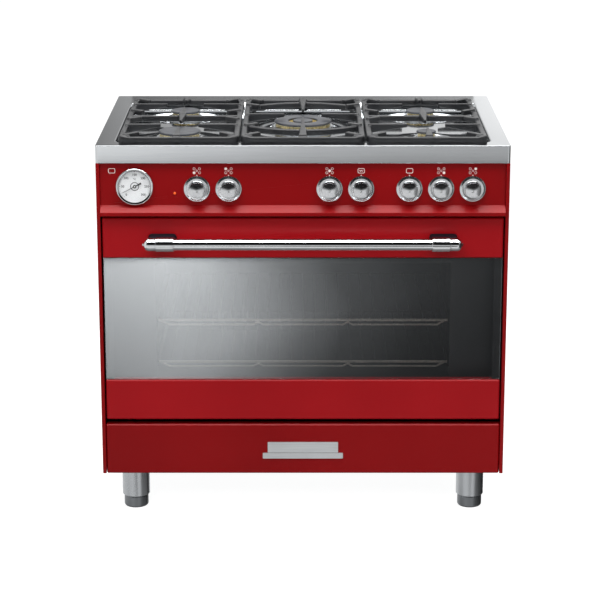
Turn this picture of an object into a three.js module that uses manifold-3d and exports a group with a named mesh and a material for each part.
import * as THREE from 'three';
import { mergeVertices } from 'three/addons/utils/BufferGeometryUtils.js';
import Module from 'manifold-3d';

const wasm = await Module();
wasm.setup();

// A freestanding range cooker in millimetres, +Z up, its front facing -Y.
// Heights count from the floor, depths from the front of the hob's apron, sides from the middle.

// Driving dimensions
const cookerWidth = 900;
const cookerDepth = 600;
const cookerHeight = 850;
const legHeight = 97;
const sheet = 1.2;
const fit = 0.3;
const overrun = 5;
const weldDistance = 0.0005;
const roundSides = 16;
const fineSides = 28;
const smallSides = 10;
const wireSides = 6;
const crossWireSides = 4;
const arcSteps = 3;

// Front of the cooker, from the top down
const apronHeight = 39;
const panelHeight = 116;
const panelToDoor = 6;
const doorToDrawer = 11.4;
const drawerHeight = 117;

// Hob tray and its sunken well
const hobSheet = 1.5;
const rimSide = 40;
const rimFront = 35;
const rimRear = 85;
const wellDepth = 20;
const wellTaper = 12;
const wellCorner = 20;

// Body shell
const sideEdge = 8;
const sideLip = 25;
const rearOverhang = 20;
const rearReturn = 18;
const ventWidth = 60;
const ventHeight = 6;
const ventPitch = 90;
const ventDrop = 40;
const ventCount = 7;
const baseFold = 12;

// Control panel
const panelSetback = 6;
const panelReturn = 38;
const bevelDrop = 13.5;
const bevelReach = 16;
const lipHeight = 8;
const spindleHole = 7;

// Thermometer on the left of the panel
const gaugeFromEnd = 75.7;
const gaugeAboveBevel = 1;
const gaugeBelowTop = 11.2;
const bezelDepth = 7.5;
const bezelChamfer = 1.8;
const bezelLip = 1.5;
const lipOverlap = 2.2;
const bezelWall = 3.3;
const gaugeGlassThickness = 1.5;
const dialThickness = 1;
const gaugeCanInset = 7.7;
const gaugeCanDepth = 25;
const gaugePinRadius = 1.2;
const gaugePinTip = 3.6;
const needleRise = 2.4;
const needleThickness = 0.8;
const needleHub = 4;
const needleInset = 6.7;
const needleTail = 16;
const needleTip = 0.7;
const needleWaist = 1.8;
const needleTailWidth = 4;
const needleAngle = -152.5 * Math.PI / 180;

// Neon lamp
const lampFromGauge = 87;
const lampRise = 48;
const lampRadius = 3;
const lampFlange = 4;
const lampFlangeDepth = 1;
const lampDome = 1.8;
const lampShank = 2.7;
const lampShankDepth = 12;

// Knobs: two beside the thermometer, two right of the middle and three at the right end
const knobRise = 59;
const knobPitch = 68.8;
const leftKnobsFromGauge = 135.6;
const knobGroupGap = 105;
const rightKnobsFromEnd = 72.3;
const knobRadius = 28.5;
const knobEdge = 1.5;
const knobSkirtDepth = 6;
const knobStepRadius = 25;
const knobStepDepth = 3;
const knobNeckRadius = 17.5;
const knobGripRadius = 16;
const knobReach = 28;
const knobBoreDepth = 14;

// Gas taps and their supply pipe
const spindleRadius = 3;
const spindleSlack = 0.5;
const tapNoseRadius = 11;
const tapNoseDepth = 12;
const tapBodyWidth = 26;
const tapBodyDepth = 42;
const railRadius = 7;
const railBehindPanel = 44;
const railEndBeyondKnob = 24;
const elbowHalf = 9;
const inletFromSide = 35;
const inletNutRadius = 13;
const inletNutDepth = 14;
const inletCapRadius = 9;
const inletCapDepth = 7;
const inletFromRear = 2;
const inletSlack = 3;

// Oven door
const doorSideGap = 3.5;
const doorThickness = 45;
const railTrayDepth = 20;
const topRailHeight = 90.3;
const bottomRailHeight = 93.2;
const glassSetback = 0.8;
const glassThickness = 4;
const glassInset = 1;
const glassLanding = 18;
const windowWidth = 654;
const windowBelowRail = 21.7;
const windowAboveBottom = 85.6;
const innerGlassOverlap = 10;
const innerGlassThickness = 4;
const innerGlassRecess = 2.7;

// Door hinges: a fixed arm at each side whose pin turns in the door's cheeks
const hingeFromEdge = 38.5;
const hingeRise = 15;
const hingeBehindFace = 22;
const hingeArmWidth = 10;
const hingeArmRadius = 6;
const hingeSlotClearance = 1.5;
const hingePinRadius = 3.5;
const hingePinReach = 6;
const hingeCheek = 9;
const hingeCheekHeight = 34;
const hingeFootHeight = 46;
const hingeFootThickness = 3;

// Door handle
const handleStandoff = 46;
const handleDrop = 48;
const handleRadius = 12.5;
const handleWall = 1.5;
const handleSocket = 22;
const handleFromEdge = 90.5;
const collarLength = 40;
const collarRadius = 15.3;
const collarStep = 1.8;
const collarGroove = 4;
const capRadius = 12.5;
const capShoulder = 8;
const capTipRadius = 4;
const capLength = 28;
const postWidth = 62;
const postFromTip = 10;
const postAbove = 13;
const postBelow = 12;
const handleSides = 20;

// Oven cavity
const ovenWidth = 672;
const ovenSill = 58;
const ovenHeadroom = 70.6;
const ovenRearSpace = 78.5;
const ovenSheet = 1.5;
const gasketSpace = 5;
const flangeAboveDoor = 3;
const flangeAboveDrawer = 2;
const ledgeWidth = 12;
const ledgeThickness = 4;
const ledgeFront = 12;
const ledgeRear = 12;
const gasketInset = 4;
const gasketWidth = 10;
const gasketCorner = 18;

// Oven racks
const upperRackRise = 151.6;
const lowerRackRise = 53.6;
const rackSideGap = 6;
const rackFrontGap = 20.5;
const rackRearGap = 29.5;
const rackFrameRadius = 3;
const rackSideRadius = 2.6;
const rackWireRadius = 2;
const rackWireCount = 11;
const rackDrop = 10.5;
const rackKinkWidth = 14;
const rackKinkHeight = 6;
const rackKinkSide = 150;
const rackHookInset = 6;

// Oven and grill burners
const tubeBurnerRadius = 11;
const ovenBurnerLength = 420;
const grillBurnerLength = 500;
const burnerLugWidth = 16;
const burnerLugLength = 24;
const burnerLugHeight = 16;
const burnerLugInset = 40;
const ovenBurnerPlace = 230;
const grillBurnerPlace = 130;

// Storage drawer
const drawerFrontDepth = 18;
const drawerSideGap = 1.3;
const drawerFrontLip = 20;
const drawerBoxFromSide = 48.8;
const drawerRearSpace = 81.7;
const drawerBoxDrop = 13.5;
const runnerHeight = 14;
const runnerWidth = 16;
const runnerInset = 12;
const runnerRearGap = 23.2;
const guideHeight = 28;
const guideGap = 1;

// Legs
const legFromSide = 69;
const legInset = 62;
const sleeveRadius = 31;
const sleeveEdge = 3;
const footRadius = 27.5;
const footHeight = 28;
const footEdge = 4;
const stemRadius = 10;
const stemBelowBase = 25;

// Hob burners
const burnerOffCentre = 5;
const frontRowFromGrid = 132;
const rearRowFromGrid = 83;
const rapidCap = 47.2;
const standardCap = 33.7;
const smallCap = 22;
const wokCap = 65;
const wokHole = 33.5;
const wokInnerCap = 23;
const wokInnerGap = 2.5;
const cupBorder = 4;
const cupHeight = 6;
const crownInset = 3;
const crownHeight = 13;
const crownWall = 7;
const crownFloor = 8;
const capThickness = 5.5;
const capEdge = 1.2;
const capChamfer = 2.5;
const throatRadius = 6;
const stubRadius = 11;
const stubDepth = 22;
const wokStubRadius = 18;

// Cast pan supports
const gridRise = 14;
const gridBarDrop = 5;
const gridBarHeight = 13.5;
const gridBarWidth = 12;
const gridFrontGap = 10;
const gridRearGap = 8;
const gridSideGap = 6;
const gridGap = 2;
const gridMiddleSide = 138;
const fingerWidth = 7;
const fingerRootHeight = 22;
const fingerTipHeight = 8;
const fingerClear = 42;
const centreClear = 50;
const noseWidth = 17;
const noseTipWidth = 5;
const gridCorner = 14;
const gridInnerCorner = 6;
const lugRadius = 12;
const lugInset = 13;
const lugRise = 3;
const stubLength = 38;
const stubWidth = 12;
const stubHeight = 12;
const midStubSide = 36;
const midStubReach = 28;
const midStubOffset = 44;
const arcSag = 52;
const arcEndInset = 18;
const arcEndFromRow = 115;
const arcBarWidth = 12;
const arcPieces = 6;
const gridFootRadius = 6;

// Heights from the top down
const apronBottom = cookerHeight - apronHeight;
const wellFloor = cookerHeight - wellDepth;
const panelTop = apronBottom - fit;
const panelBottom = apronBottom - panelHeight;
const bevelTop = panelBottom + lipHeight + bevelDrop;
const knobHeight = panelBottom + knobRise;
const bezelRadius = (panelTop - gaugeBelowTop - bevelTop - gaugeAboveBevel) / 2;
const gaugeHeight = bevelTop + gaugeAboveBevel + bezelRadius;
const lampHeight = panelBottom + lampRise;
const doorTop = panelBottom - panelToDoor;
const drawerTop = legHeight + drawerHeight;
const doorBottom = drawerTop + doorToDrawer;
const handleHeight = doorTop - handleDrop;
const topRailBottom = doorTop - topRailHeight;
const bottomRailTop = doorBottom + bottomRailHeight;
const windowTop = topRailBottom - windowBelowRail;
const windowBottom = doorBottom + windowAboveBottom;
const hingeHeight = doorBottom + hingeRise;
const ovenFloor = doorBottom + ovenSill;
const ovenRoof = doorTop - ovenHeadroom;
const runnerTop = legHeight + sheet + runnerHeight;
const drawerBottom = runnerTop + fit;
const gridTop = cookerHeight + gridRise;
const gridBarTop = gridTop - gridBarDrop;
const gridBarBottom = gridBarTop - gridBarHeight;

// Distances from the middle to each side
const halfWidth = cookerWidth / 2;
const edgeInside = halfWidth - sideEdge;
const sideInside = halfWidth - sheet;
const panelHalf = edgeInside - fit;
const doorHalf = edgeInside - doorSideGap;
const ovenHalf = ovenWidth / 2;
const drawerHalf = sideInside - drawerBoxFromSide;
const legSide = halfWidth - legFromSide;
const hingeSide = doorHalf - hingeFromEdge;
const inletSide = halfWidth - inletFromSide;
const capTip = doorHalf - handleFromEdge;
const collarOuter = capTip - capLength;
const collarInner = collarOuter - collarLength;
const postOuter = capTip - postFromTip;
const postInner = postOuter - postWidth;
const gaugeSide = panelHalf - gaugeFromEnd;
const lampSide = gaugeSide - lampFromGauge;
const gridSide = gridMiddleSide + gridGap;
const gridOuterSide = halfWidth - rimSide - gridSideGap;
const burnerSpread = (gridSide + gridOuterSide) / 2 + burnerOffCentre;
const rearLeftKnob = leftKnobsFromGauge - gaugeSide;
const rearRightKnob = panelHalf - rightKnobsFromEnd;
const ovenKnob = rearRightKnob - knobPitch * 2;
const grillKnob = ovenKnob - knobGroupGap;
const knobPlaces = {
  knob_rear_left: rearLeftKnob,
  knob_front_left: rearLeftKnob + knobPitch,
  knob_centre: grillKnob - knobPitch,
  knob_grill: grillKnob,
  knob_oven: ovenKnob,
  knob_front_right: rearRightKnob - knobPitch,
  knob_rear_right: rearRightKnob,
};

// Depths from the front of the apron
const bodyRear = cookerDepth - rearOverhang;
const railDepth = panelSetback + sheet + railBehindPanel;
const flangeFront = doorThickness + gasketSpace;
const ovenFront = flangeFront + ovenSheet;
const ovenRear = bodyRear - ovenRearSpace;
const drawerBoxFront = drawerFrontDepth + fit;
const drawerBoxRear = bodyRear - drawerRearSpace;
const gridFront = rimFront + gridFrontGap;
const gridRear = cookerDepth - rimRear - gridRearGap;
const frontRow = gridFront + frontRowFromGrid;
const rearRow = gridRear - rearRowFromGrid;
const burnerMiddleRow = (frontRow + rearRow) / 2;

// Sizes of the thermometer that follow from its bezel
const gaugeSeat = bezelRadius - bezelWall;
const gaugeCanRadius = gaugeSeat - gaugeCanInset;
const needleReach = gaugeSeat - needleInset;

// Finishes

const stainless = { color: 0xb4b6b9, roughness: 0.34, metalness: 1 };
const chrome = { color: 0xd2d4d6, roughness: 0.12, metalness: 1 };
const redEnamel = { color: 0x8c1218, roughness: 0.3, metalness: 0.1 };
const galvanised = { color: 0x8f9496, roughness: 0.5, metalness: 1 };
const ovenEnamel = { color: 0x2b2d31, roughness: 0.35, metalness: 0.1 };
const castIron = { color: 0x2a2b2e, roughness: 0.6, metalness: 0.3 };
const blackEnamel = { color: 0x3a3b3f, roughness: 0.4, metalness: 0.2 };
const brass = { color: 0xb08a4a, roughness: 0.35, metalness: 1 };
const smokedGlass = { color: 0x30343a, roughness: 0.05, metalness: 0, transparent: true, opacity: 0.6 };
const clearGlass = { color: 0xf0f4f4, roughness: 0.03, metalness: 0, transparent: true, opacity: 0.25 };
const dialWhite = { color: 0xf2f2ee, roughness: 0.5, metalness: 0 };
const needleBlack = { color: 0x111111, roughness: 0.5, metalness: 0 };
const amberLens = { color: 0xd8641e, roughness: 0.2, metalness: 0 };
const sealRubber = { color: 0x1c1c1e, roughness: 0.85, metalness: 0 };

// Solids: closed meshes that the manifold library joins and cuts

function asSolid(geometry) {
  const bare = new THREE.BufferGeometry();
  bare.setAttribute('position', geometry.attributes.position);
  bare.setIndex(geometry.index);
  const welded = mergeVertices(bare, weldDistance);
  const corners = welded.index.array;
  const triangles = [];
  for (let i = 0; i < corners.length; i += 3) {
    const [a, b, c] = corners.slice(i, i + 3);
    if (a !== b && b !== c && c !== a) {
      triangles.push(a, b, c);
    }
  }
  return new wasm.Manifold(new wasm.Mesh({
    numProp: 3,
    vertProperties: welded.attributes.position.array,
    triVerts: Uint32Array.from(triangles),
  }));
}

function asGeometry(solid) {
  const mesh = solid.getMesh();
  const geometry = new THREE.BufferGeometry();
  geometry.setAttribute('position', new THREE.BufferAttribute(mesh.vertProperties, 3));
  geometry.setIndex(new THREE.BufferAttribute(mesh.triVerts, 1));
  geometry.computeVertexNormals();
  return geometry;
}

function joined(solids) {
  return solids.reduce((whole, next) => whole.add(next));
}

function block([left, right], [front, rear], [bottom, top]) {
  const geometry = new THREE.BoxGeometry(1, 1, 1);
  const corner = geometry.attributes.position;
  for (let i = 0; i < corner.count; i += 1) {
    corner.setXYZ(i, corner.getX(i) < 0 ? left : right, corner.getY(i) < 0 ? front : rear,
      corner.getZ(i) < 0 ? bottom : top);
  }
  return asSolid(geometry);
}

// A round bar along one axis, centred on the two other places, given in the order x, y, z
function rod(axis, radius, [start, end], [first, second], sides = roundSides) {
  const geometry = new THREE.CylinderGeometry(radius, radius, 1, sides);
  const corner = geometry.attributes.position;
  for (let i = 0; i < corner.count; i += 1) {
    const along = corner.getY(i) < 0 ? start : end;
    const across = corner.getX(i);
    const up = corner.getZ(i);
    if (axis === 'x') {
      corner.setXYZ(i, along, first - across, second + up);
    } else if (axis === 'y') {
      corner.setXYZ(i, first + across, along, second + up);
    } else {
      corner.setXYZ(i, first + across, second - up, along);
    }
  }
  return asSolid(geometry);
}

// A faceted hole that clears a round piece of the given radius all round
function hole(axis, radius, span, place, sides = roundSides) {
  return rod(axis, radius / Math.cos(Math.PI / sides), span, place, sides);
}

// A turned piece about +Z from [radius, height] pairs that start and end on the axis or enclose a ring
function turned(profile, sides = roundSides) {
  const points = profile.map(([radius, height]) => new THREE.Vector2(radius, height));
  if (THREE.ShapeUtils.area(points) < 0) {
    points.reverse();
  }
  if (points[0].x > 0) {
    points.push(points[0].clone());
  }
  const geometry = new THREE.LatheGeometry(points, sides);
  geometry.rotateX(Math.PI / 2);
  return geometry;
}

// A turned piece whose height points forward, out of the control panel
function turnedForward(profile, sides = roundSides) {
  return turned(profile, sides).rotateX(Math.PI / 2);
}

function outlineShape(points) {
  return new THREE.Shape(points.map(([u, v]) => new THREE.Vector2(u, v)));
}

function extruded(shape, [bottom, top]) {
  const options = { depth: 1, bevelEnabled: false, curveSegments: arcSteps };
  const geometry = new THREE.ExtrudeGeometry(shape, options);
  const corner = geometry.attributes.position;
  for (let i = 0; i < corner.count; i += 1) {
    corner.setZ(i, corner.getZ(i) > 0 ? top : bottom);
  }
  return geometry;
}

// A section drawn as [depth, height] and run from side to side
function sectionAcross(points, [left, right]) {
  const geometry = extruded(outlineShape(points), [left, right]);
  geometry.rotateX(Math.PI / 2);
  geometry.rotateZ(Math.PI / 2);
  return asSolid(geometry);
}

function roundedRectangle([left, right], [front, rear], radius) {
  const shape = new THREE.Shape();
  shape.moveTo(left + radius, front);
  shape.lineTo(right - radius, front);
  shape.absarc(right - radius, front + radius, radius, -Math.PI / 2, 0);
  shape.lineTo(right, rear - radius);
  shape.absarc(right - radius, rear - radius, radius, 0, Math.PI / 2);
  shape.lineTo(left + radius, rear);
  shape.absarc(left + radius, rear - radius, radius, Math.PI / 2, Math.PI);
  shape.lineTo(left, front + radius);
  shape.absarc(left + radius, front + radius, radius, Math.PI, Math.PI * 3 / 2);
  return shape;
}

// A solid between two outlines with the same number of points, one above the other
function lofted(lowerShape, upperShape, [bottom, top]) {
  const tidy = (shape) => {
    const points = shape.getPoints(arcSteps);
    return points.filter((point, i) => point.distanceTo(points.at(i - 1)) > weldDistance);
  };
  const lower = tidy(lowerShape);
  const upper = tidy(upperShape);
  const count = lower.length;
  const places = [];
  lower.forEach((point) => places.push(point.x, point.y, bottom));
  upper.forEach((point) => places.push(point.x, point.y, top));
  const index = [];
  THREE.ShapeUtils.triangulateShape(lower, []).forEach(([a, b, c]) => {
    index.push(a, c, b);
    index.push(count + a, count + b, count + c);
  });
  for (let i = 0; i < count; i += 1) {
    const next = (i + 1) % count;
    index.push(i, next, count + next);
    index.push(i, count + next, count + i);
  }
  const geometry = new THREE.BufferGeometry();
  geometry.setAttribute('position', new THREE.Float32BufferAttribute(places, 3));
  geometry.setIndex(index);
  return asSolid(geometry);
}

// A straight bar whose width, bottom and top may change from one end to the other
function taperedBar(start, end) {
  const geometry = new THREE.BoxGeometry(1, 1, 1);
  const along = new THREE.Vector2(end.x - start.x, end.y - start.y).normalize();
  const corner = geometry.attributes.position;
  for (let i = 0; i < corner.count; i += 1) {
    const section = corner.getX(i) < 0 ? start : end;
    const aside = corner.getY(i) * section.width;
    const height = corner.getZ(i) < 0 ? section.bottom : section.top;
    corner.setXYZ(i, section.x - along.y * aside, section.y + along.x * aside, height);
  }
  return asSolid(geometry);
}

// A wire from one point to another, run on by half its radius so that bends close
function wire(radius, start, end) {
  const from = new THREE.Vector3(...start);
  const to = new THREE.Vector3(...end);
  const geometry = new THREE.CylinderGeometry(radius, radius, from.distanceTo(to) + radius, wireSides);
  const direction = to.clone().sub(from).normalize();
  const turn = new THREE.Quaternion().setFromUnitVectors(new THREE.Vector3(0, 1, 0), direction);
  geometry.applyQuaternion(turn);
  geometry.translate(...from.add(to).divideScalar(2).toArray());
  return asSolid(geometry);
}

// Hob tray

function wellSolid(thicker, [bottom, top]) {
  const outlineAt = (height) => {
    const inset = wellTaper * (cookerHeight - height) / wellDepth - thicker;
    const side = halfWidth - rimSide - inset;
    return roundedRectangle([-side, side], [rimFront + inset, cookerDepth - rimRear - inset], wellCorner);
  };
  return lofted(outlineAt(bottom), outlineAt(top), [bottom, top]);
}

function makeHobTop() {
  const skin = block([-halfWidth, halfWidth], [0, cookerDepth], [apronBottom, cookerHeight]);
  const insideHalf = halfWidth - hobSheet;
  const underside = block([-insideHalf, insideHalf], [hobSheet, cookerDepth - hobSheet],
    [apronBottom - overrun, cookerHeight - hobSheet]);
  const pressing = wellSolid(hobSheet, [wellFloor - hobSheet, cookerHeight - hobSheet / 2]);
  const hollow = wellSolid(0, [wellFloor, cookerHeight + overrun]);
  const holes = hobBurners.map(({ x, y, stub }) => (
    hole('z', stub + fit, [wellFloor - hobSheet - overrun, wellFloor + overrun], [x, y])));
  return skin.subtract(underside).add(pressing).subtract(hollow).subtract(joined(holes));
}

// Body shell

function makeSidePanel(side) {
  const outline = [
    [edgeInside, sideLip], [edgeInside, 0], [halfWidth, 0], [halfWidth, bodyRear],
    [halfWidth - rearReturn, bodyRear], [halfWidth - rearReturn, bodyRear - sheet],
    [sideInside, bodyRear - sheet], [sideInside, sheet], [edgeInside + sheet, sheet],
    [edgeInside + sheet, sideLip],
  ];
  const placed = outline.map(([x, y]) => [side * x, y]);
  return asSolid(extruded(outlineShape(placed), [legHeight, apronBottom - fit]));
}

function makeBackPanel() {
  const half = halfWidth - fit;
  const plate = block([-half, half], [bodyRear + fit, bodyRear + fit + sheet],
    [legHeight, apronBottom - fit]);
  const through = [bodyRear - overrun, bodyRear + sheet + overrun];
  const inletHole = hole('y', railRadius + inletSlack, through, [inletSide, knobHeight]);
  const vents = [];
  for (let i = 0; i < ventCount; i += 1) {
    const middle = (i - (ventCount - 1) / 2) * ventPitch;
    const top = apronBottom - ventDrop;
    vents.push(block([middle - ventWidth / 2, middle + ventWidth / 2], through,
      [top - ventHeight, top]));
  }
  return plate.subtract(inletHole).subtract(joined(vents));
}

function makeBasePan() {
  const half = sideInside - fit;
  const front = sideLip + fit;
  const rear = bodyRear - sheet - fit;
  const bottom = legHeight;
  const tray = block([-half, half], [front, rear], [bottom, bottom + baseFold]);
  const inside = block([-half + sheet, half - sheet], [front + sheet, rear - sheet],
    [bottom + sheet, bottom + baseFold + overrun]);
  const pieces = [tray.subtract(inside)];
  [-1, 1].forEach((side) => {
    const outer = drawerHalf - runnerInset;
    const inner = outer - runnerWidth;
    const guide = drawerHalf + guideGap;
    const along = [front, rear - runnerRearGap];
    const channel = block(ordered(side * inner, side * outer), along, [bottom, runnerTop]);
    const channelInside = block(ordered(side * (inner + sheet), side * (outer - sheet)),
      [along[0] - overrun, along[1] + overrun], [bottom + sheet, runnerTop - sheet]);
    pieces.push(channel.subtract(channelInside));
    pieces.push(block(ordered(side * guide, side * (guide + sheet)), along,
      [bottom, runnerTop + guideHeight - runnerHeight]));
  });
  return joined(pieces);
}

function ordered(a, b) {
  return a < b ? [a, b] : [b, a];
}

// Control panel and what sits in it

function makeControlPanel() {
  const rear = panelSetback + panelReturn;
  const bevelBottom = panelBottom + lipHeight;
  const lipFace = panelSetback - bevelReach;
  const outside = [
    [rear, panelTop], [panelSetback, panelTop], [panelSetback, bevelTop],
    [lipFace, bevelBottom], [lipFace, panelBottom], [rear, panelBottom],
  ];
  const inside = [
    [rear + overrun, panelTop - sheet], [panelSetback + sheet, panelTop - sheet],
    [panelSetback + sheet, bevelTop], [lipFace + sheet, bevelBottom],
    [lipFace + sheet, panelBottom + sheet], [rear + overrun, panelBottom + sheet],
  ];
  const casing = sectionAcross(outside, [-panelHalf, panelHalf]);
  const hollow = sectionAcross(inside, [-panelHalf + sheet, panelHalf - sheet]);
  const through = [panelSetback - overrun, panelSetback + sheet + overrun];
  const holes = Object.values(knobPlaces).map((x) => (
    hole('y', spindleHole, through, [x, knobHeight], smallSides)));
  holes.push(hole('y', gaugeCanRadius + fit, through, [-gaugeSide, gaugeHeight]));
  holes.push(hole('y', lampRadius, through, [-lampSide, lampHeight], smallSides));
  return casing.subtract(hollow).subtract(joined(holes));
}

function makeGaugeBezel() {
  const opening = gaugeSeat - lipOverlap;
  return turnedForward([
    [gaugeSeat, 0], [bezelRadius, 0], [bezelRadius, bezelDepth - bezelChamfer],
    [bezelRadius - bezelChamfer, bezelDepth], [opening + bezelChamfer / 2, bezelDepth],
    [opening, bezelDepth - bezelLip], [gaugeSeat, bezelDepth - bezelLip],
  ], fineSides);
}

function makeGaugeDial() {
  const disc = gaugeSeat - fit;
  return turnedForward([
    [0, -gaugeCanDepth], [gaugeCanRadius - fit, -gaugeCanDepth], [gaugeCanRadius - fit, 0], [disc, 0],
    [disc, dialThickness], [gaugePinRadius, dialThickness], [gaugePinRadius, gaugePinTip],
    [0, gaugePinTip],
  ], fineSides);
}

function makeGaugeGlass() {
  const radius = gaugeSeat - fit;
  return turnedForward([[0, 0], [radius, 0], [radius, gaugeGlassThickness], [0, gaugeGlassThickness]],
    fineSides);
}

// The needle lies along +X here and is turned to its reading where it is placed
function makeGaugeNeedle() {
  const blade = taperedBar(
    { x: 0, y: 0, width: needleWaist, bottom: 0, top: needleThickness },
    { x: needleReach, y: 0, width: needleTip, bottom: 0, top: needleThickness });
  const tail = taperedBar(
    { x: 0, y: 0, width: needleWaist, bottom: 0, top: needleThickness },
    { x: -needleTail, y: 0, width: needleTailWidth, bottom: 0, top: needleThickness });
  const hub = rod('z', needleHub, [0, needleThickness], [0, 0]);
  const bore = hole('z', gaugePinRadius + fit, [-overrun, needleThickness + overrun], [0, 0]);
  const flat = asGeometry(joined([blade, tail, hub]).subtract(bore));
  flat.rotateX(Math.PI / 2);
  flat.rotateY(-needleAngle);
  return flat;
}

function makeLamp() {
  return turnedForward([
    [0, -lampShankDepth], [lampShank, -lampShankDepth], [lampShank, 0], [lampFlange, 0],
    [lampFlange, lampFlangeDepth], [lampRadius, lampFlangeDepth],
    [lampRadius * Math.SQRT1_2, lampFlangeDepth + lampDome * Math.SQRT1_2],
    [0, lampFlangeDepth + lampDome],
  ], smallSides);
}

function makeKnob() {
  const bore = spindleRadius + fit;
  const stepTop = knobSkirtDepth + knobStepDepth;
  return turnedForward([
    [0, knobBoreDepth], [bore, knobBoreDepth], [bore, 0], [knobRadius, 0],
    [knobRadius, knobSkirtDepth], [knobStepRadius, knobSkirtDepth], [knobStepRadius, stepTop],
    [knobNeckRadius, stepTop],
    [knobGripRadius, knobReach - knobEdge], [knobGripRadius - knobEdge, knobReach], [0, knobReach],
  ]);
}

// One body: the supply pipe, the seven tap bodies and the pipe back to the inlet
function makeGasRail() {
  const noseFront = panelSetback + sheet + fit;
  const places = Object.values(knobPlaces);
  const first = Math.min(...places) - railEndBeyondKnob;
  const spindleTip = panelSetback - fit - knobBoreDepth + spindleSlack;
  const bodyFront = noseFront + tapNoseDepth;
  const half = tapBodyWidth / 2;
  const inletEnd = cookerDepth - inletFromRear;
  const pieces = [
    rod('x', railRadius, [first, inletSide], [railDepth, knobHeight], smallSides),
    rod('y', railRadius, [railDepth, inletEnd - inletNutDepth / 2], [inletSide, knobHeight], smallSides),
    rod('y', inletNutRadius, [inletEnd - inletNutDepth, inletEnd - inletCapDepth],
      [inletSide, knobHeight], wireSides),
    rod('y', inletCapRadius, [inletEnd - inletNutDepth, inletEnd], [inletSide, knobHeight], smallSides),
    block([inletSide - elbowHalf, inletSide + elbowHalf], [railDepth - elbowHalf, railDepth + elbowHalf],
      [knobHeight - elbowHalf, knobHeight + elbowHalf]),
  ];
  places.forEach((x) => {
    pieces.push(rod('y', spindleRadius, [spindleTip, bodyFront + half], [x, knobHeight], wireSides));
    pieces.push(rod('y', tapNoseRadius, [noseFront, bodyFront + half], [x, knobHeight], smallSides));
    pieces.push(block([x - half, x + half], [bodyFront, bodyFront + tapBodyDepth],
      [knobHeight - half, knobHeight + half]));
  });
  return joined(pieces);
}

// Oven

function makeOvenCavity() {
  const outer = ovenHalf + ovenSheet;
  const ledgeEnds = [ovenFront + ledgeFront, ovenRear - ledgeRear];
  const shell = block([-outer, outer], [flangeFront, ovenRear + ovenSheet],
    [ovenFloor - ovenSheet, ovenRoof + ovenSheet]);
  const flangeHalf = sideInside - fit;
  const flange = block([-flangeHalf, flangeHalf], [flangeFront, ovenFront],
    [drawerTop + flangeAboveDrawer, doorTop + flangeAboveDoor]);
  const inside = block([-ovenHalf, ovenHalf], [flangeFront - overrun, ovenRear], [ovenFloor, ovenRoof]);
  const ledges = [];
  [upperRackRise, lowerRackRise].forEach((rise) => {
    const top = ovenFloor + rise - rackFrameRadius - fit;
    [-1, 1].forEach((side) => {
      ledges.push(block(ordered(side * (ovenHalf - ledgeWidth), side * outer), ledgeEnds,
        [top - ledgeThickness, top]));
    });
  });
  return joined([shell.add(flange).subtract(inside), ...ledges]);
}

function makeDoorGasket() {
  const ring = (inset) => {
    const half = ovenHalf + inset;
    return roundedRectangle([-half, half], [ovenFloor - inset, ovenRoof + inset], gasketCorner);
  };
  const thick = [doorThickness + fit, flangeFront - fit];
  const flat = (shape, [front, rear]) => {
    const geometry = extruded(shape, [-rear, -front]);
    return asSolid(geometry.rotateX(Math.PI / 2));
  };
  const outer = flat(ring(gasketInset + gasketWidth), thick);
  const inner = flat(ring(gasketInset), [thick[0] - overrun, thick[1] + overrun]);
  return outer.subtract(inner);
}

function makeTubeBurner(length) {
  const tube = rod('x', tubeBurnerRadius, [-length / 2, length / 2], [0, 0], smallSides);
  const lugs = [-1, 1].map((side) => {
    const middle = side * (length / 2 - burnerLugInset);
    return block([middle - burnerLugLength / 2, middle + burnerLugLength / 2],
      [-burnerLugWidth / 2, burnerLugWidth / 2], [0, burnerLugHeight]);
  });
  return joined([tube, ...lugs]);
}

const rackFront = ovenFront + rackFrontGap;

function makeRack() {
  const half = ovenHalf - rackSideGap - rackFrameRadius;
  const rear = ovenRear - rackRearGap - rackFront - rackFrameRadius;
  const front = rackFrameRadius;
  const low = -rackDrop;
  const pieces = [];
  const run = (radius, points) => {
    points.slice(1).forEach((point, i) => pieces.push(wire(radius, points[i], point)));
  };
  run(rackFrameRadius, [[-half, front, 0], [half, front, 0]]);
  run(rackFrameRadius, [[-half, rear, 0], [half, rear, 0]]);
  pieces.push(rod('y', rackSideRadius, [front, rear], [-half + rackFrameRadius, 0], wireSides));
  pieces.push(rod('y', rackSideRadius, [front, rear], [half - rackFrameRadius, 0], wireSides));
  const hook = half - rackHookInset;
  const frontWire = [[-hook, front, 0], [-hook, front, low]];
  [-rackKinkSide, rackKinkSide].forEach((middle) => {
    frontWire.push([middle - rackKinkWidth / 2, front, low]);
    frontWire.push([middle, front, low + rackKinkHeight]);
    frontWire.push([middle + rackKinkWidth / 2, front, low]);
  });
  frontWire.push([hook, front, low], [hook, front, 0]);
  run(rackWireRadius, frontWire);
  const pitch = 2 * half / (rackWireCount + 1);
  for (let i = 1; i <= rackWireCount; i += 1) {
    const x = -half + i * pitch;
    pieces.push(rod('y', rackWireRadius, [front, rear], [x, 0], crossWireSides));
  }
  return joined(pieces);
}

// Oven door

function makeRailTray([bottom, top]) {
  const tray = block([-doorHalf, doorHalf], [0, railTrayDepth], [bottom, top]);
  const inside = block([-doorHalf + sheet, doorHalf - sheet], [sheet, railTrayDepth + overrun],
    [bottom + sheet, top - sheet]);
  return tray.subtract(inside);
}

// The path of a hinge arm through the door as the door swings down
function makeHingeSlot(side) {
  const half = hingeArmWidth / 2 + hingeSlotClearance;
  const reach = hingeArmRadius + hingeSlotClearance;
  const middle = side * hingeSide;
  return block([middle - half, middle + half],
    [hingeBehindFace - reach, doorThickness + overrun],
    [doorBottom - overrun, hingeHeight + reach]);
}

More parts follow.
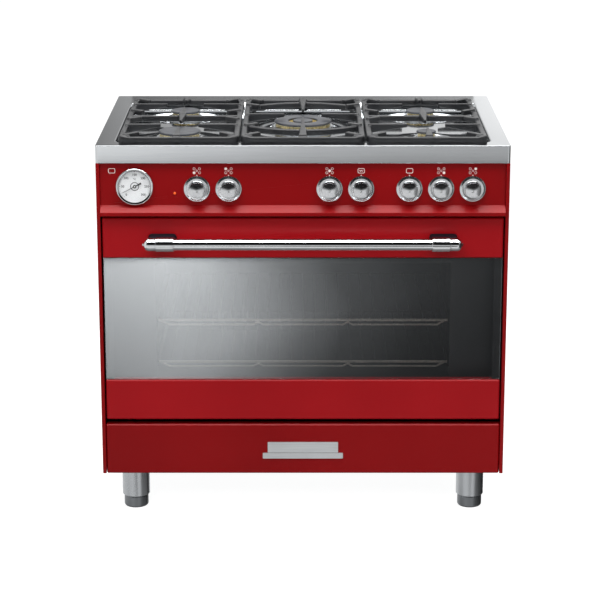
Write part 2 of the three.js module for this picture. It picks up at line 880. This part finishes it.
function makeDoorBottomRail() {
  const tray = makeRailTray([doorBottom, bottomRailTop]);
  return tray.subtract(makeHingeSlot(-1)).subtract(makeHingeSlot(1));
}

function makeOuterGlass() {
  const half = doorHalf - glassInset;
  return block([-half, half], [glassSetback, glassSetback + glassThickness],
    [bottomRailTop + fit, topRailBottom - fit]);
}

function makeDoorFrame() {
  const front = railTrayDepth + fit;
  const glassBack = glassSetback + glassThickness + fit;
  const landing = doorThickness - innerGlassRecess - innerGlassThickness - fit;
  const insideSkin = doorThickness - sheet;
  const skinMiddle = doorThickness - sheet / 2;
  const pocketHalf = windowWidth / 2 + innerGlassOverlap + fit;
  const pocket = [windowBottom - innerGlassOverlap - fit, windowTop + innerGlassOverlap + fit];
  const glassHeights = [bottomRailTop + fit, topRailBottom - fit];
  const whole = block([-doorHalf, doorHalf], [glassBack, doorThickness], [doorBottom, doorTop]);
  const frontCuts = joined([
    block([-doorHalf - overrun, doorHalf + overrun], [glassBack - overrun, front],
      [glassHeights[1], doorTop + overrun]),
    block([-doorHalf - overrun, doorHalf + overrun], [glassBack - overrun, front],
      [doorBottom - overrun, glassHeights[0]]),
    block([-doorHalf + glassLanding, doorHalf - glassLanding], [glassBack - overrun, front],
      glassHeights),
    block([-doorHalf + sheet, doorHalf - sheet], [glassBack + sheet, insideSkin],
      [doorBottom + sheet, doorTop - sheet]),
  ]);
  const tunnel = block([-pocketHalf - sheet, pocketHalf + sheet], [landing - sheet, skinMiddle],
    [pocket[0] - sheet, pocket[1] + sheet]);
  const cheekHalf = hingeArmWidth / 2 + hingeSlotClearance + hingeCheek;
  const cheekFront = hingeBehindFace - hingeArmRadius - hingeSlotClearance * 2;
  const pinReach = hingeArmWidth / 2 + hingePinReach + fit;
  const cheeks = [];
  const cuts = [
    block([-pocketHalf, pocketHalf], [landing, doorThickness + overrun], pocket),
    block([-windowWidth / 2, windowWidth / 2], [landing - sheet - overrun, doorThickness],
      [windowBottom, windowTop]),
  ];
  [-1, 1].forEach((side) => {
    const middle = side * hingeSide;
    cheeks.push(block([middle - cheekHalf, middle + cheekHalf], [cheekFront, skinMiddle],
      [doorBottom + sheet + fit, doorBottom + hingeCheekHeight]));
    cheeks.push(block([middle - cheekHalf, middle + cheekHalf], [front, skinMiddle],
      [doorBottom, doorBottom + hingeRise]));
    cuts.push(makeHingeSlot(side));
    cuts.push(hole('x', hingePinRadius + fit, [middle - pinReach, middle + pinReach],
      [hingeBehindFace, hingeHeight], smallSides));
  });
  return joined([whole.subtract(frontCuts), tunnel, ...cheeks]).subtract(joined(cuts));
}

function makeInnerGlass() {
  const half = windowWidth / 2 + innerGlassOverlap;
  const rear = doorThickness - innerGlassRecess;
  return block([-half, half], [rear - innerGlassThickness, rear],
    [windowBottom - innerGlassOverlap, windowTop + innerGlassOverlap]);
}

function makeDoorHinge(side) {
  const middle = side * hingeSide;
  const half = hingeArmWidth / 2;
  const arm = block([middle - half, middle + half], [hingeBehindFace, flangeFront - fit],
    [hingeHeight - hingeArmRadius, hingeHeight + hingeArmRadius]);
  const nose = rod('x', hingeArmRadius, [middle - half, middle + half], [hingeBehindFace, hingeHeight]);
  const pin = rod('x', hingePinRadius, [middle - half - hingePinReach, middle + half + hingePinReach],
    [hingeBehindFace, hingeHeight]);
  const foot = block([middle - half, middle + half],
    [flangeFront - fit - hingeFootThickness, flangeFront - fit],
    [hingeHeight - hingeFootHeight / 2 + hingeArmRadius, hingeHeight + hingeArmRadius]);
  return joined([arm, nose, pin, foot]);
}

function makeHandleBar() {
  const end = collarInner + handleSocket;
  const bar = rod('x', handleRadius, [-end, end], [-handleStandoff, handleHeight], handleSides);
  const bore = rod('x', handleRadius - handleWall, [-end - overrun, end + overrun],
    [-handleStandoff, handleHeight], smallSides);
  return bar.subtract(bore);
}

// A chromed collar with a pointed cap, on a dark post that stands on the door
function makeHandleBracket(side) {
  const profile = [
    [0, collarInner], [collarRadius - collarStep, collarInner],
    [collarRadius, collarInner + collarStep], [collarRadius, collarOuter - collarGroove],
    [collarRadius - collarStep, collarOuter], [capRadius, collarOuter],
    [capRadius, collarOuter + capShoulder], [capTipRadius, capTip - collarStep], [0, capTip],
  ];
  const collar = turned(profile, handleSides);
  collar.rotateY(side * Math.PI / 2);
  collar.translate(0, -handleStandoff, handleHeight);
  const post = block(ordered(side * postInner, side * postOuter), [-handleStandoff, -fit],
    [handleHeight - postBelow, handleHeight + postAbove]);
  const socket = hole('x', handleRadius + fit,
    ordered(side * (postInner - overrun), side * (collarInner + handleSocket + fit)),
    [-handleStandoff, handleHeight], handleSides);
  const nearCap = block(ordered(side * (collarInner + handleSocket), side * (postOuter + overrun)),
    [-handleStandoff - overrun, -handleStandoff + collarRadius - collarStep],
    [handleHeight - postBelow - overrun, handleHeight + postAbove + overrun]);
  return joined([post.subtract(nearCap), asSolid(collar)]).subtract(socket);
}

// Storage drawer

function makeDrawerFront() {
  const half = edgeInside - drawerSideGap;
  const tray = block([-half, half], [0, drawerFrontDepth], [legHeight, drawerTop]);
  const inside = block([-half + sheet, half - sheet], [sheet, drawerFrontDepth - sheet],
    [legHeight + sheet, drawerTop - sheet]);
  const opening = block([-half + drawerFrontLip, half - drawerFrontLip],
    [drawerFrontDepth / 2, drawerFrontDepth + overrun],
    [legHeight + drawerFrontLip, drawerTop - drawerFrontLip]);
  return tray.subtract(inside).subtract(opening);
}

function makeDrawerBox() {
  const top = drawerTop - drawerBoxDrop;
  const box = block([-drawerHalf, drawerHalf], [drawerBoxFront, drawerBoxRear], [drawerBottom, top]);
  const inside = block([-drawerHalf + sheet, drawerHalf - sheet],
    [drawerBoxFront + sheet, drawerBoxRear - sheet], [drawerBottom + sheet, top + overrun]);
  return box.subtract(inside);
}

// Legs

function makeLegSleeve() {
  const bore = stemRadius + fit;
  const top = legHeight - fit;
  const bottom = footHeight + fit;
  return turned([
    [bore, bottom], [sleeveRadius - sleeveEdge, bottom], [sleeveRadius, bottom + sleeveEdge],
    [sleeveRadius, top], [bore, top],
  ]);
}

function makeLegFoot() {
  const stemTop = legHeight - stemBelowBase;
  return turned([
    [0, 0], [footRadius - footEdge, 0], [footRadius, footEdge], [footRadius, footHeight],
    [stemRadius, footHeight], [stemRadius, stemTop], [0, stemTop],
  ]);
}

// Hob burners and their caps

const hobBurners = [
  { name: 'front_left', x: -burnerSpread, y: frontRow, radius: rapidCap, stub: stubRadius },
  { name: 'rear_left', x: -burnerSpread, y: rearRow, radius: standardCap, stub: stubRadius },
  { name: 'rear_right', x: burnerSpread, y: rearRow, radius: standardCap, stub: stubRadius },
  { name: 'front_right', x: burnerSpread, y: frontRow, radius: smallCap, stub: stubRadius },
  { name: 'centre', x: 0, y: burnerMiddleRow, radius: wokCap, stub: wokStubRadius },
];

function makeBurner({ radius, stub }) {
  const crown = radius - crownInset;
  const profile = [
    [throatRadius, -stubDepth], [stub, -stubDepth], [stub, 0], [radius + cupBorder, 0],
    [radius + cupBorder, cupHeight], [crown, cupHeight], [crown, crownHeight],
  ];
  if (radius === wokCap) {
    profile.push(
      [wokHole + wokInnerGap, crownHeight], [wokHole + wokInnerGap, crownFloor],
      [wokInnerCap - wokInnerGap, crownFloor], [wokInnerCap - wokInnerGap, crownHeight],
      [throatRadius, crownHeight]);
  } else {
    profile.push([crown - crownWall, crownHeight], [crown - crownWall, crownFloor],
      [throatRadius, crownFloor]);
  }
  return turned(profile, radius === wokCap ? fineSides : roundSides);
}

function makeCap(radius) {
  return turned([
    [0, 0], [radius - capEdge, 0], [radius, capEdge], [radius, capThickness - capEdge],
    [radius - capChamfer, capThickness], [0, capThickness],
  ], roundSides);
}

function makeWokRing() {
  return turned([
    [wokHole, 0], [wokCap - capEdge, 0], [wokCap, capEdge], [wokCap, capThickness - capEdge],
    [wokCap - capChamfer, capThickness], [wokHole + capEdge, capThickness],
    [wokHole, capThickness - capEdge],
  ], fineSides);
}

// Pan supports

function barBetween([x0, y0], [x1, y1], width = gridBarWidth) {
  const level = { width, bottom: gridBarBottom, top: gridBarTop };
  return taperedBar({ ...level, x: x0, y: y0 }, { ...level, x: x1, y: y1 });
}

// A blade that carries the pan: deep at the bar, shallow at its tip
function finger([x0, y0], [x1, y1]) {
  return taperedBar(
    { x: x0, y: y0, width: fingerWidth, bottom: gridTop - fingerRootHeight, top: gridTop },
    { x: x1, y: y1, width: fingerWidth, bottom: gridTop - fingerTipHeight, top: gridTop });
}

// A wedge that points at a burner
function nose([x0, y0], [x1, y1]) {
  return taperedBar(
    { x: x0, y: y0, width: noseWidth, bottom: gridBarBottom, top: gridTop },
    { x: x1, y: y1, width: noseTipWidth, bottom: gridTop - fingerTipHeight, top: gridTop });
}

function diagonalStub([x0, y0], [x1, y1]) {
  const level = { width: stubWidth, bottom: gridTop - stubHeight, top: gridTop };
  return taperedBar({ ...level, x: x0, y: y0 }, { ...level, x: x1, y: y1 });
}

// The rectangle with round lugs, corner stubs and feet that every pan support has
function makeGridFrame(left, right) {
  const frame = roundedRectangle([left, right], [gridFront, gridRear], gridCorner);
  frame.holes.push(roundedRectangle([left + gridBarWidth, right - gridBarWidth],
    [gridFront + gridBarWidth, gridRear - gridBarWidth], gridInnerCorner));
  const pieces = [asSolid(extruded(frame, [gridBarBottom, gridBarTop]))];
  const reach = stubLength * Math.SQRT1_2;
  [[left, 1], [right, -1]].forEach(([x, inX]) => {
    [[gridFront, 1], [gridRear, -1]].forEach(([y, inY]) => {
      const lugX = x + inX * lugInset;
      const lugY = y + inY * lugInset;
      const footX = lugX + inX * gridFootRadius;
      const footY = lugY + inY * gridFootRadius;
      pieces.push(rod('z', lugRadius, [gridBarBottom + lugRise, gridBarTop + lugRise], [lugX, lugY],
        smallSides));
      pieces.push(diagonalStub([lugX, lugY], [lugX + inX * reach, lugY + inY * reach]));
      pieces.push(rod('z', gridFootRadius, [wellFloor + fit, gridBarTop], [footX, footY], wireSides));
    });
  });
  return pieces;
}

function makeSideGrid(side) {
  const [left, right] = ordered(side * gridSide, side * gridOuterSide);
  const middle = side * burnerSpread;
  const cross = burnerMiddleRow;
  const pieces = makeGridFrame(left, right);
  const inset = gridBarWidth / 2;
  pieces.push(barBetween([left + inset, cross], [right - inset, cross]));
  [frontRow, rearRow].forEach((row) => {
    pieces.push(finger([left + inset, row], [middle - fingerClear, row]));
    pieces.push(finger([right - inset, row], [middle + fingerClear, row]));
  });
  pieces.push(nose([middle, gridFront + inset], [middle, frontRow - fingerClear]));
  pieces.push(nose([middle, cross], [middle, frontRow + fingerClear]));
  pieces.push(nose([middle, cross], [middle, rearRow - fingerClear]));
  pieces.push(nose([middle, gridRear - inset], [middle, rearRow + fingerClear]));
  [[left + inset, 1], [right - inset, -1]].forEach(([x, inward]) => {
    [-1, 1].forEach((way) => {
      pieces.push(diagonalStub([x, cross + way * (midStubOffset + stubWidth)],
        [x + inward * midStubReach, cross + way * midStubSide]));
    });
  });
  return joined(pieces);
}

// A bar bowed towards the front or the rear, level with the frame
function bowedBar(halfSpan, ends, sag) {
  const edges = [[], []];
  for (let i = 0; i <= arcPieces; i += 1) {
    const share = 2 * i / arcPieces - 1;
    const along = new THREE.Vector2(halfSpan, -2 * sag * share).normalize();
    const middle = new THREE.Vector2(halfSpan * share, ends + sag * (1 - share * share));
    [-1, 1].forEach((edge, k) => {
      const offset = edge * arcBarWidth / 2;
      edges[k].push([middle.x - along.y * offset, middle.y + along.x * offset]);
    });
  }
  const outline = [...edges[0], ...edges[1].reverse()];
  return asSolid(extruded(outlineShape(outline), [gridBarBottom, gridBarTop]));
}

function makeCentreGrid() {
  const half = gridMiddleSide - gridGap;
  const inset = gridBarWidth / 2;
  const cross = burnerMiddleRow;
  const side = half - inset;
  const bowSide = half - arcEndInset + arcBarWidth;
  const pieces = makeGridFrame(-half, half);
  [-1, 1].forEach((way) => {
    const start = cross + way * arcEndFromRow;
    pieces.push(bowedBar(bowSide, start, way * arcSag));
    pieces.push(finger([way * side, cross], [way * fingerClear, cross]));
    const edge = way < 0 ? gridFront + inset : gridRear - inset;
    pieces.push(nose([0, edge], [0, cross + way * centreClear]));
    [-1, 1].forEach((hand) => {
      pieces.push(diagonalStub([hand * side, start + way * stubWidth],
        [hand * (side - midStubReach), start - way * stubWidth / 2]));
    });
  });
  return joined(pieces);
}

// Assembly

const cooker = new THREE.Group();
const door = new THREE.Group();
const drawer = new THREE.Group();
cooker.add(door, drawer);

function addPart(parent, name, shape, finish, [x, y, z] = [0, 0, 0]) {
  const solid = shape.isBufferGeometry ? asSolid(shape) : shape;
  const mesh = new THREE.Mesh(asGeometry(solid), new THREE.MeshStandardMaterial(finish));
  mesh.name = name;
  mesh.position.set(x, y, z);
  parent.add(mesh);
}

const panelFront = panelSetback - fit;
const gaugePlace = [-gaugeSide, panelFront, gaugeHeight];
const forwardOfGauge = (distance) => [-gaugeSide, panelFront - distance, gaugeHeight];

addPart(cooker, 'hob_top', makeHobTop(), stainless);
addPart(cooker, 'side_panel_left', makeSidePanel(-1), redEnamel);
addPart(cooker, 'side_panel_right', makeSidePanel(1), redEnamel);
addPart(cooker, 'back_panel', makeBackPanel(), galvanised);
addPart(cooker, 'base_pan', makeBasePan(), galvanised);
addPart(cooker, 'control_panel', makeControlPanel(), redEnamel);
addPart(cooker, 'gauge_bezel', makeGaugeBezel(), chrome, gaugePlace);
addPart(cooker, 'gauge_dial', makeGaugeDial(), dialWhite, gaugePlace);
addPart(cooker, 'gauge_needle', makeGaugeNeedle(), needleBlack, forwardOfGauge(needleRise));
addPart(cooker, 'gauge_glass', makeGaugeGlass(), clearGlass,
  forwardOfGauge(bezelDepth - bezelLip - fit - gaugeGlassThickness));
addPart(cooker, 'indicator_lamp', makeLamp(), amberLens, [-lampSide, panelFront, lampHeight]);
addPart(cooker, 'gas_rail', makeGasRail(), galvanised);
Object.entries(knobPlaces).forEach(([name, x]) => {
  addPart(cooker, name, makeKnob(), chrome, [x, panelFront, knobHeight]);
});

addPart(cooker, 'oven_cavity', makeOvenCavity(), ovenEnamel);
addPart(cooker, 'door_gasket', makeDoorGasket(), sealRubber);
const ovenBurnerHeight = ovenFloor - ovenSheet - fit - burnerLugHeight;
addPart(cooker, 'oven_burner', makeTubeBurner(ovenBurnerLength), galvanised,
  [0, ovenFront + ovenBurnerPlace, ovenBurnerHeight]);
addPart(cooker, 'grill_burner', makeTubeBurner(grillBurnerLength), galvanised,
  [0, ovenFront + grillBurnerPlace, ovenRoof - fit - burnerLugHeight]);
addPart(cooker, 'oven_rack_upper', makeRack(), chrome, [0, rackFront, ovenFloor + upperRackRise]);
addPart(cooker, 'oven_rack_lower', makeRack(), chrome, [0, rackFront, ovenFloor + lowerRackRise]);

addPart(door, 'door_top_rail', makeRailTray([topRailBottom, doorTop]), redEnamel);
addPart(door, 'door_bottom_rail', makeDoorBottomRail(), redEnamel);
addPart(door, 'door_outer_glass', makeOuterGlass(), smokedGlass);
addPart(door, 'door_frame', makeDoorFrame(), blackEnamel);
addPart(door, 'door_inner_glass', makeInnerGlass(), clearGlass);
addPart(door, 'handle_bar', makeHandleBar(), chrome);
addPart(door, 'handle_bracket_left', makeHandleBracket(-1), chrome);
addPart(door, 'handle_bracket_right', makeHandleBracket(1), chrome);
addPart(cooker, 'door_hinge_left', makeDoorHinge(-1), galvanised);
addPart(cooker, 'door_hinge_right', makeDoorHinge(1), galvanised);

addPart(drawer, 'drawer_front', makeDrawerFront(), redEnamel);
addPart(drawer, 'drawer_box', makeDrawerBox(), galvanised);

[['front', legInset], ['rear', cookerDepth - legInset]].forEach(([row, y]) => {
  [['left', -legSide], ['right', legSide]].forEach(([hand, x]) => {
    addPart(cooker, `leg_sleeve_${row}_${hand}`, makeLegSleeve(), stainless, [x, y, 0]);
    addPart(cooker, `leg_foot_${row}_${hand}`, makeLegFoot(), stainless, [x, y, 0]);
  });
});

hobBurners.forEach((burner) => {
  const { name, x, y, radius } = burner;
  const seat = wellFloor + fit;
  const capSeat = seat + crownHeight + fit;
  addPart(cooker, `burner_${name}`, makeBurner(burner), brass, [x, y, seat]);
  if (radius === wokCap) {
    addPart(cooker, `burner_cap_${name}_ring`, makeWokRing(), blackEnamel, [x, y, capSeat]);
    addPart(cooker, `burner_cap_${name}`, makeCap(wokInnerCap), blackEnamel, [x, y, capSeat]);
  } else {
    addPart(cooker, `burner_cap_${name}`, makeCap(radius), blackEnamel, [x, y, capSeat]);
  }
});

addPart(cooker, 'pan_support_left', makeSideGrid(-1), castIron);
addPart(cooker, 'pan_support_centre', makeCentreGrid(), castIron);
addPart(cooker, 'pan_support_right', makeSideGrid(1), castIron);

// The origin is under the middle of the whole cooker, handle included
const foremost = -handleStandoff - collarRadius;
cooker.position.set(0, -(foremost + cookerDepth) / 2, 0);

export default cooker;
